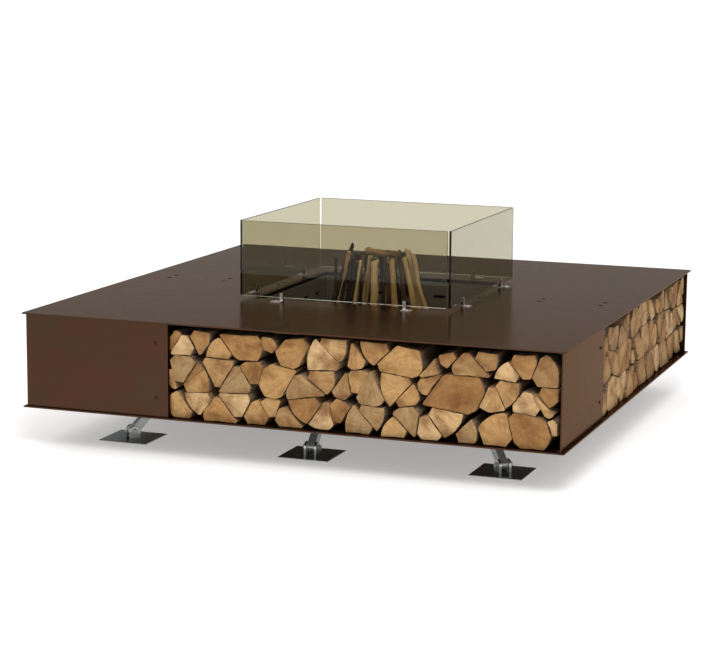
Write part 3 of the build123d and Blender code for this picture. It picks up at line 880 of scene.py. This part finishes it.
@dataclass
class LogShape:
    """Outline of one log in its bay, with its heart and the part of it that has bark."""

    outline: list[Point]
    heart: Point
    bark: list[bool]
    tone: float
    front: float
    back: float

    shortest_side: ClassVar[float] = 0.012
    corner_reach: ClassVar[float] = 0.036
    spacing: ClassVar[float] = 0.010
    bark_slant: ClassVar[float] = 0.42
    bark_start: ClassVar[float] = 0.03
    roundness: ClassVar[float] = 0.2
    clearance: ClassVar[tuple[float, float]] = (0.0004, 0.0018)
    raggedness: ClassVar[float] = 0.0022
    ragged_waves: ClassVar[float] = 55.0

    @classmethod
    def within(cls, cell: list[Point], front: float, back: float, random: Random) -> "LogShape":
        """Shape a split log inside the room it has.

        Args:
            cell: Convex outline that the log must stay in.
            front: Place of its front end along the bay.
            back: Place of its back end.
            random: Source of chance.

        Returns:
            The shape.
        """
        loop = evenly(sharpened(cell, cls.shortest_side, cls.corner_reach), cls.spacing)
        count = len(loop)

        def turn(index: int) -> float:
            """How sharply the outline turns at a point."""
            before, here, after = (loop[(index + offset) % count] for offset in (-1, 0, 1))
            first = (here[0] - before[0], here[1] - before[1])
            second = (after[0] - here[0], after[1] - here[1])
            across = first[0] * second[1] - first[1] * second[0]
            return atan2(across, first[0] * second[0] + first[1] * second[1])

        corner = max(range(count), key=turn)
        heart = loop[corner]
        bark = []
        for index, (x, y) in enumerate(loop):
            ahead = loop[(index + 1) % count]
            along = (ahead[0] - x, ahead[1] - y)
            ray = ((x + ahead[0]) / 2 - heart[0], (y + ahead[1]) / 2 - heart[1])
            size = max(hypot(*along) * hypot(*ray), TINY)
            slant = abs(along[0] * ray[1] - along[1] * ray[0]) / size
            bark.append(slant > cls.bark_slant and hypot(*ray) > cls.bark_start)
        spans = [hypot(x - heart[0], y - heart[1]) for (x, y), barked in zip(loop, bark) if barked]
        limit = min(spans) * cls.roundness + max(spans) * (1 - cls.roundness) if spans else 1.0
        shrink = random.uniform(*cls.clearance)
        grain = Vector((random.uniform(0, 90), random.uniform(0, 90), 0.0))
        middle = (sum(x for x, _ in loop) / count, sum(y for _, y in loop) / count)
        shaped = []
        for x, y in loop:
            span = hypot(x - heart[0], y - heart[1])
            if span > limit:
                x, y = heart[0] + (x - heart[0]) * limit / span, heart[1] + (y - heart[1]) * limit / span
            inward = (middle[0] - x, middle[1] - y)
            size = max(hypot(*inward), TINY)
            wave = noise.noise(Vector((x * cls.ragged_waves, y * cls.ragged_waves, 0.0)) + grain)
            ragged = shrink + cls.raggedness * max(0.0, wave)
            shaped.append((x + inward[0] / size * ragged, y + inward[1] / size * ragged))
        return cls(shaped, heart, bark, random.random(), front, back)


@dataclass
class LogPile:
    """Split firewood of one bay, shaped in the places that the CAD logs hold."""

    side: Side
    seed: int
    segments: int = 4
    evening: float = 0.55
    rim: float = 0.0022
    rim_rise: float = 0.0009
    end_tilt: float = 0.045
    end_depth: float = 0.05
    end_facing: float = 0.75
    saw_marks: float = 0.0012
    saw_waves: Waves = (70.0, 70.0, 70.0)
    split_swell: float = 0.0016
    swell_bias: float = 0.4
    swell_waves: Waves = (16.0, 5.0, 16.0)
    fibre_depth: float = 0.0006
    fibre_waves: Waves = (90.0, 9.0, 90.0)
    flat_heart: float = 0.004
    shapes: list[LogShape] = field(default_factory=list)

    def read_shapes(self, random: Random) -> None:
        """Read the room of each log from the CAD pile, turned to the front."""
        back_turn = Matrix.Rotation(-radians(self.side.value), 3, "Z")
        solids = solids_of(f"log_pile_{self.side.label}")
        logs = [[back_turn @ point for point in points] for points in solids]
        face = min(point.y for points in logs for point in points)
        for points in logs:
            front = min(point.y for point in points)
            back = max(point.y for point in points)
            cell = loop_round([(round(p.x, 5), round(p.z, 5)) for p in points if p.y < front + CLOSE])
            pull = (front - face) * self.evening
            self.shapes.append(LogShape.within(cell, front - pull, back - pull, random))

    def build(self) -> None:
        """Model every log, roughen it and dress the pile."""
        random = Random(self.seed)
        self.read_shapes(random)
        shop = Workshop(f"firewood_{self.side.label}")
        spans = []
        for shape in self.shapes:
            outline = [Vector((x, shape.back, z)) for x, z in shape.outline]
            shares = [random.uniform(0.7, 1.3) for _ in range(self.segments)]
            scale = (shape.front - shape.back) / sum(shares)
            steps = [Vector((0.0, share * scale, 0.0)) for share in shares]
            spans.append(shop.bar(outline, steps, self.rim, self.rim_rise))
        shop.leave()
        heart_values, tone_values = self.roughen(shop.piece.data, spans, random)
        shop.attribute("heart", "FLOAT_VECTOR", heart_values)
        shop.attribute("tone", "FLOAT", tone_values)
        finishes = [LogEnd(), LogSide(), Bark()]
        face_finish = self.choose_finishes(shop.piece.data, spans)
        shop.piece.data.transform(Matrix.Rotation(radians(self.side.value), 4, "Z"))
        shop.finish(finishes, face_finish, "table", "firewood", f"log_pile_{self.side.label}")

    def roughen(self, mesh: bpy.types.Mesh, spans: list[Span], random: Random) -> tuple[list, list]:
        """Tilt the sawn ends, ripple the split faces and note each vertex's place in its log.

        Args:
            mesh: Mesh of the pile.
            spans: Vertex range of each log.
            random: Source of chance.

        Returns:
            Vector from the heart for each vertex, flattened, and the tone for each vertex.
        """
        hearts: list[float] = []
        tones: list[float] = []
        for (first, last), shape in zip(spans, self.shapes):
            count = len(shape.outline)
            middle = (sum(x for x, _ in shape.outline) / count, sum(z for _, z in shape.outline) / count)
            tilt = [random.uniform(-self.end_tilt, self.end_tilt) for _ in range(2)]
            inset = abs(tilt[0]) * hypot(shape.heart[0] - middle[0], shape.heart[1] - middle[1]) * 0.5
            for index in range(first, last):
                place = mesh.vertices[index].co
                hearts += [place.x - shape.heart[0], place.y, place.z - shape.heart[1]]
                tones.append(shape.tone)
                away = Vector((place.x - middle[0], 0.0, place.z - middle[1]))
                bulge = self.split_swell * (ripple(place, self.swell_waves) - self.swell_bias)
                bulge += self.fibre_depth * ripple(place, self.fibre_waves)
                shift = away.normalized() * bulge if away.length > self.flat_heart else Vector()
                near_end = max(0.0, 1.0 - abs(place.y - shape.front) / self.end_depth)
                shift.y += near_end * (tilt[0] * away.x + tilt[1] * away.z + inset)
                shift.y += near_end * self.saw_marks * ripple(place, self.saw_waves)
                mesh.vertices[index].co = place + shift
        return hearts, tones

    def choose_finishes(self, mesh: bpy.types.Mesh, spans: list[Span]) -> list[int]:
        """Pick sawn end, split face or bark for every face.

        Args:
            mesh: Mesh of the pile, still turned to the front.
            spans: Vertex range of each log.

        Returns:
            Index of the finish of each face.
        """
        owner = [0] * len(mesh.vertices)
        for number, (first, last) in enumerate(spans):
            owner[first:last] = [number] * (last - first)
        chosen = []
        for polygon in mesh.polygons:
            shape = self.shapes[owner[polygon.vertices[0]]]
            if abs(polygon.normal.y) > self.end_facing:
                chosen.append(LogFace.END)
                continue
            sides = range(len(shape.outline))
            nearest = min(sides, key=lambda index: self.distance(shape, index, polygon.center))
            chosen.append(LogFace.BARK if shape.bark[nearest] else LogFace.SPLIT)
        return chosen

    @staticmethod
    def distance(shape: LogShape, index: int, centre: Vector) -> float:
        """Squared distance from a face's centre to the middle of one side of an outline."""
        a, b = shape.outline[index], shape.outline[(index + 1) % len(shape.outline)]
        return ((a[0] + b[0]) / 2 - centre.x) ** 2 + ((a[1] + b[1]) / 2 - centre.z) ** 2


@dataclass
class Stick:
    """One kindling stick: where it stands, where it leans to, and how it looks."""

    base: Vector
    top: Vector
    radius: float
    taper: float
    tone: float
    bow: Vector

    knot_swell: ClassVar[float] = 0.20
    knot_waves: ClassVar[Waves] = (40.0, 11.0, 40.0)
    dent_depth: ClassVar[float] = 0.22
    dent_waves: ClassVar[Waves] = (90.0, 7.0, 90.0)
    dent_shift: ClassVar[float] = 30.0
    wriggle: ClassVar[float] = 2.6

    def place(self, offset: Vector, share: float) -> Vector:
        """Place of a point of the stick once it leans and bends.

        Args:
            offset: Place across the straight stick, from its middle.
            share: Place along it, from 0 at the foot to 1 at the tip.

        Returns:
            The point in the object's frame.
        """
        lean = Vector((0.0, 0.0, 1.0)).rotation_difference(self.top - self.base)
        knot = 1.0 + self.knot_swell * ripple((self.base.x, share, self.base.y), self.knot_waves)
        shift = self.base * self.dent_shift
        dent = 1.0 + self.dent_depth * ripple((offset.x, share, offset.y), self.dent_waves, shift)
        spread = (1.0 - (1.0 - self.taper) * share) * knot * dent
        bend = self.bow * sin(pi * share) + self.bow.yxz * sin(self.wriggle * pi * share) * 0.5
        return self.base.lerp(self.top, share) + bend + lean @ (offset * spread)


@dataclass
class Kindling:
    """Bundle of branches stood up on the grate, leaning together."""

    seed: int = 12
    slimming: float = 0.80
    turn: float = radians(12.0)
    top_spread: float = 1.12
    charred: tuple[int, ...] = (1, 2, 4, 10, 13)
    thin: tuple[int, ...] = (3, 6)
    twig_count: int = 15
    ring_points: int = 14
    segments: int = 12
    tip_slope: float = 0.5
    thin_share: float = 0.62
    girth: tuple[float, float] = (0.8, 1.05)
    taper: tuple[float, float] = (0.72, 0.9)
    twig_taper: float = 0.75
    tip_shift: tuple[float, float] = (-0.012, 0.006)
    stick_bow: float = 0.010
    twig_bow: float = 0.012
    rim_share: float = 0.16
    charred_tone: tuple[float, float] = (0.10, 0.26)
    fresh_tone: tuple[float, float] = (0.58, 0.96)
    twig_tone: tuple[float, float] = (0.06, 0.30)
    twig_radius: tuple[float, float] = (0.007, 0.013)
    sticks: list[Stick] = field(default_factory=list)

    @staticmethod
    def sideways(random: Random, reach: float) -> Vector:
        """Level move of chance in both directions."""
        return Vector((random.uniform(-1, 1), random.uniform(-1, 1), 0.0)) * reach

    def read_sticks(self, random: Random) -> None:
        """Read the main branches from the CAD bundle, slimmed and turned."""
        turn = Matrix.Rotation(self.turn, 3, "Z")
        for index, points in enumerate(solids_of("kindling")):
            low, high = min(p.z for p in points), max(p.z for p in points)
            feet = [p for p in points if p.z < low + CLOSE]
            heads = [p for p in points if p.z > high - CLOSE]
            radius = max((p - feet[0]).length for p in feet) / 2 * self.slimming * random.uniform(*self.girth)
            radius *= self.thin_share if index in self.thin else 1.0
            base = turn @ (sum(feet, Vector()) / len(feet))
            top = turn @ (sum(heads, Vector()) / len(heads))
            top.xy *= self.top_spread
            top.z += random.uniform(*self.tip_shift)
            bow = self.sideways(random, self.stick_bow)
            tone = random.uniform(*(self.charred_tone if index in self.charred else self.fresh_tone))
            self.sticks.append(Stick(base, top, radius, random.uniform(*self.taper), tone, bow))

    def add_twigs(self, random: Random) -> None:
        """Stand thin dark twigs in the gaps between the branches."""
        outer = max(hypot(stick.base.x, stick.base.y) for stick in self.sticks)
        inner = max(hypot(stick.top.x, stick.top.y) for stick in self.sticks)
        low, high = self.sticks[0].base.z, max(stick.top.z for stick in self.sticks)
        for index in range(self.twig_count):
            angle = TURN * (index + random.uniform(-0.3, 0.3)) / self.twig_count
            base = Vector((cos(angle), sin(angle), 0.0)) * outer * random.uniform(0.62, 0.86)
            lean = angle + random.uniform(-0.35, 0.35)
            top = Vector((cos(lean), sin(lean), 0.0)) * inner * random.uniform(0.6, 1.0)
            base.z, top.z = low, high + random.uniform(-0.04, 0.0)
            bow = self.sideways(random, self.twig_bow)
            radius, tone = random.uniform(*self.twig_radius), random.uniform(*self.twig_tone)
            self.sticks.append(Stick(base, top, radius, self.twig_taper, tone, bow))

    def add_strays(self) -> None:
        """Add a tall stick and a short snag on the left, and one stick laid across the tips."""
        low, high = self.sticks[0].base.z, max(stick.top.z for stick in self.sticks)
        strays = [
            ((-0.210, -0.01, low), (-0.108, 0.0, high + 0.020), 0.012, 0.62, 0.10, (-0.012, 0.0, 0.0)),
            ((-0.050, -0.035, high - 0.004), (0.074, 0.0, high - 0.012), 0.014, 0.8, 0.42, (0.0, 0.0, 0.004)),
            ((-0.200, 0.03, low), (-0.192, 0.03, high - 0.045), 0.008, 0.7, 0.08, (0.004, 0.0, 0.0)),
        ]
        for base, top, radius, taper, tone, bow in strays:
            self.sticks.append(Stick(Vector(base), Vector(top), radius, taper, tone, Vector(bow)))

    def build(self) -> None:
        """Model every stick, bend and thicken it and dress the bundle."""
        random = Random(self.seed)
        self.read_sticks(random)
        self.add_twigs(random)
        self.add_strays()
        shop = Workshop("kindling_bundle")
        spans = []
        for stick in self.sticks:
            turns = [TURN * index / self.ring_points for index in range(self.ring_points)]
            outline = [Vector((cos(turn), sin(turn), 0.0)) * stick.radius for turn in turns]
            steps = [Vector((0.0, 0.0, 1.0 / self.segments))] * self.segments
            spans.append(shop.bar(outline, steps, stick.radius * self.rim_share, 0.0))
        shop.leave()
        mesh = shop.piece.data
        face_finish = [1 if abs(polygon.normal.z) > 0.8 else 0 for polygon in mesh.polygons]
        hearts: list[float] = []
        tones: list[float] = []
        for (first, last), stick in zip(spans, self.sticks):
            slope = self.sideways(random, self.tip_slope)
            length = (stick.top - stick.base).length
            for index in range(first, last):
                straight = mesh.vertices[index].co.copy()
                offset = Vector((straight.x, straight.y, 0.0))
                share = straight.z + (slope.dot(offset) / length if straight.z > 0.99 else 0.0)
                placed = stick.place(offset, share)
                placed.z = max(placed.z, self.sticks[0].base.z)
                mesh.vertices[index].co = placed
                hearts += [offset.x, offset.y, share * length + stick.base.x]
                tones.append(stick.tone)
        shop.attribute("heart", "FLOAT_VECTOR", hearts)
        shop.attribute("tone", "FLOAT", tones)
        shop.finish([BranchSkin(), BranchEnd()], face_finish, "grate", "branches", "kindling")


# ---- sub-assemblies that are dressed as they come ----
@dataclass
class TableShell:
    """Plates, bay walls, fascias and stiffeners of the table, with their screws."""

    steel: Finish = WeatheringSteel()
    screw: Finish = RecessShadedScrew()

    def dress(self) -> None:
        """Finish the sheet steel and its screws."""
        sheets = ["top_plate", "bottom_plate"]
        for side in Side:
            sheets += [f"bay_wall_{side.label}", f"fascia_{side.label}", f"stiffener_{side.label}"]
        dress(self.steel, *sheets, "fascia_screws")
        dress(self.screw, "top_plate_screws")


@dataclass
class FireTub:
    """The lift-out tub with its grate and ash pan."""

    steel: Finish = FiredSteel()

    def dress(self) -> None:
        """Finish the fired steel."""
        dress(self.steel, "fire_tub", "fire_grate", "ash_pan")


@dataclass
class GlassScreen:
    """Four panes, each held by two lined clips."""

    glass: Finish = BronzeGlass()
    clip: Finish = BrushedStainless()
    liner: Finish = Silicone()

    def dress(self) -> None:
        """Finish the glass and what holds it."""
        dress(self.glass, *[f"glass_pane_{side.label}" for side in Side])
        dress(self.clip, "glass_clips", "clip_screws")
        dress(self.liner, "glass_pads")


@dataclass
class TiltingFeet:
    """Eight foot plates on leaning legs."""

    plate: Finish = FootSteel()
    leg: Finish = Galvanised()

    def dress(self) -> None:
        """Finish plates, legs, bolts and screws."""
        dress(self.plate, *[f"foot_plate_{place}" for place in FOOT_PLACES])
        dress(self.leg, "legs", "pivot_bolts", "pivot_nuts", "leg_screws", "wall_foot_screws")


@dataclass
class Studio:
    """Pale floor, soft light and the camera."""

    look_at: Vector = field(default_factory=lambda: Vector((-0.0840, -0.0245, 0.3333)))
    distance: float = 8.2366
    azimuth: float = radians(20.205)
    elevation: float = radians(9.988)
    roll: float = radians(0.462)
    sensor: float = 36.0
    lens: float = 107.81
    floor_size: float = 400.0
    plain_sky: float = 1.05
    overhead: float = 0.98
    front_horizon: float = 0.75
    back_horizon: float = 0.52
    softbox_power: float = 185.0
    softbox_size: float = 2.2
    softbox_place: tuple[float, float, float] = (2.0, -4.4, 4.6)
    clip_end: float = 200.0

    def build(self) -> None:
        """Set up everything round the table."""
        self.add_floor()
        self.add_sky()
        self.add_softbox()
        self.add_camera()

    def add_floor(self) -> None:
        """Large level light table under the feet."""
        bpy.ops.object.select_all(action="DESELECT")
        bpy.ops.mesh.primitive_plane_add(size=self.floor_size)
        floor = bpy.context.object
        floor.name = "studio_floor"
        floor.data.materials.append(PaleFloor().material())

    def add_sky(self) -> None:
        """Soft light from above and from the front, with dimmer walls behind; the sky shows white."""
        world = bpy.data.worlds.new("studio_sky")
        world.use_nodes = True
        sky = Wiring(world.node_tree)
        place = sky.add("ShaderNodeTexCoord", {}).outputs["Generated"]
        parts = sky.add("ShaderNodeSeparateXYZ", {0: place}).outputs
        walls = {"Value": parts["Y"], "From Min": -0.35, "From Max": 0.45}
        walls |= {"To Min": self.front_horizon, "To Max": self.back_horizon}
        wall_light = sky.add("ShaderNodeMapRange", walls, interpolation_type="SMOOTHSTEP").outputs[0]
        rise = {"Value": parts["Z"], "From Min": 0.2, "From Max": 0.6}
        rise |= {"To Min": wall_light, "To Max": self.overhead}
        sky_light = sky.add("ShaderNodeMapRange", rise, interpolation_type="SMOOTHSTEP").outputs[0]
        path = sky.add("ShaderNodeLightPath", {}).outputs
        bounced = sky.add("ShaderNodeMath", {0: path["Glossy Depth"], 1: path["Diffuse Depth"]}).outputs[0]
        light = {"Value": bounced, "To Min": self.plain_sky, "To Max": sky_light}
        background = world.node_tree.nodes["Background"]
        sky.feed(background.inputs["Strength"], sky.add("ShaderNodeMapRange", light).outputs[0])
        sky.feed(background.inputs["Color"], (*WHITE, 1.0))
        bpy.context.scene.world = world
        bpy.context.scene.view_settings.view_transform = "Standard"

    def add_softbox(self) -> None:
        """Broad lamp to the front right, turned to the middle of the table."""
        lamp = bpy.data.lights.new("softbox", "AREA")
        lamp.size = self.softbox_size
        lamp.energy = self.softbox_power
        holder = bpy.data.objects.new("softbox", lamp)
        holder.location = self.softbox_place
        holder.rotation_euler = (self.look_at - holder.location).to_track_quat("-Z", "Y").to_euler()
        holder.visible_glossy = False
        bpy.context.scene.collection.objects.link(holder)

    def add_camera(self) -> None:
        """Camera that looks at the table from the front, a little to the right and above."""
        right = Vector((cos(self.azimuth), sin(self.azimuth), 0.0))
        level = Vector((sin(self.azimuth), -cos(self.azimuth), 0.0))
        back = level * cos(self.elevation) + Vector((0.0, 0.0, sin(self.elevation)))
        up = back.cross(right)
        rolled_right = right * cos(self.roll) + up * sin(self.roll)
        rolled_up = up * cos(self.roll) - right * sin(self.roll)
        lens = bpy.data.cameras.new("view")
        lens.sensor_width, lens.lens = self.sensor, self.lens
        lens.clip_end = self.clip_end
        camera = bpy.data.objects.new("view", lens)
        turn = Matrix((rolled_right, rolled_up, back)).transposed().to_4x4()
        camera.matrix_world = Matrix.Translation(self.look_at + back * self.distance) @ turn
        bpy.context.scene.collection.objects.link(camera)
        bpy.context.scene.camera = camera


def main() -> None:
    """Build the studio, then dress and model the object part by part."""
    logging.basicConfig(level=logging.INFO, format="%(name)s: %(message)s")
    Studio().build()
    TableShell().dress()
    FireTub().dress()
    GlassScreen().dress()
    TiltingFeet().dress()
    for seed, side in enumerate(Side, start=31):
        LogPile(side, seed).build()
    Kindling().build()


if __name__ == "__main__":
    main()
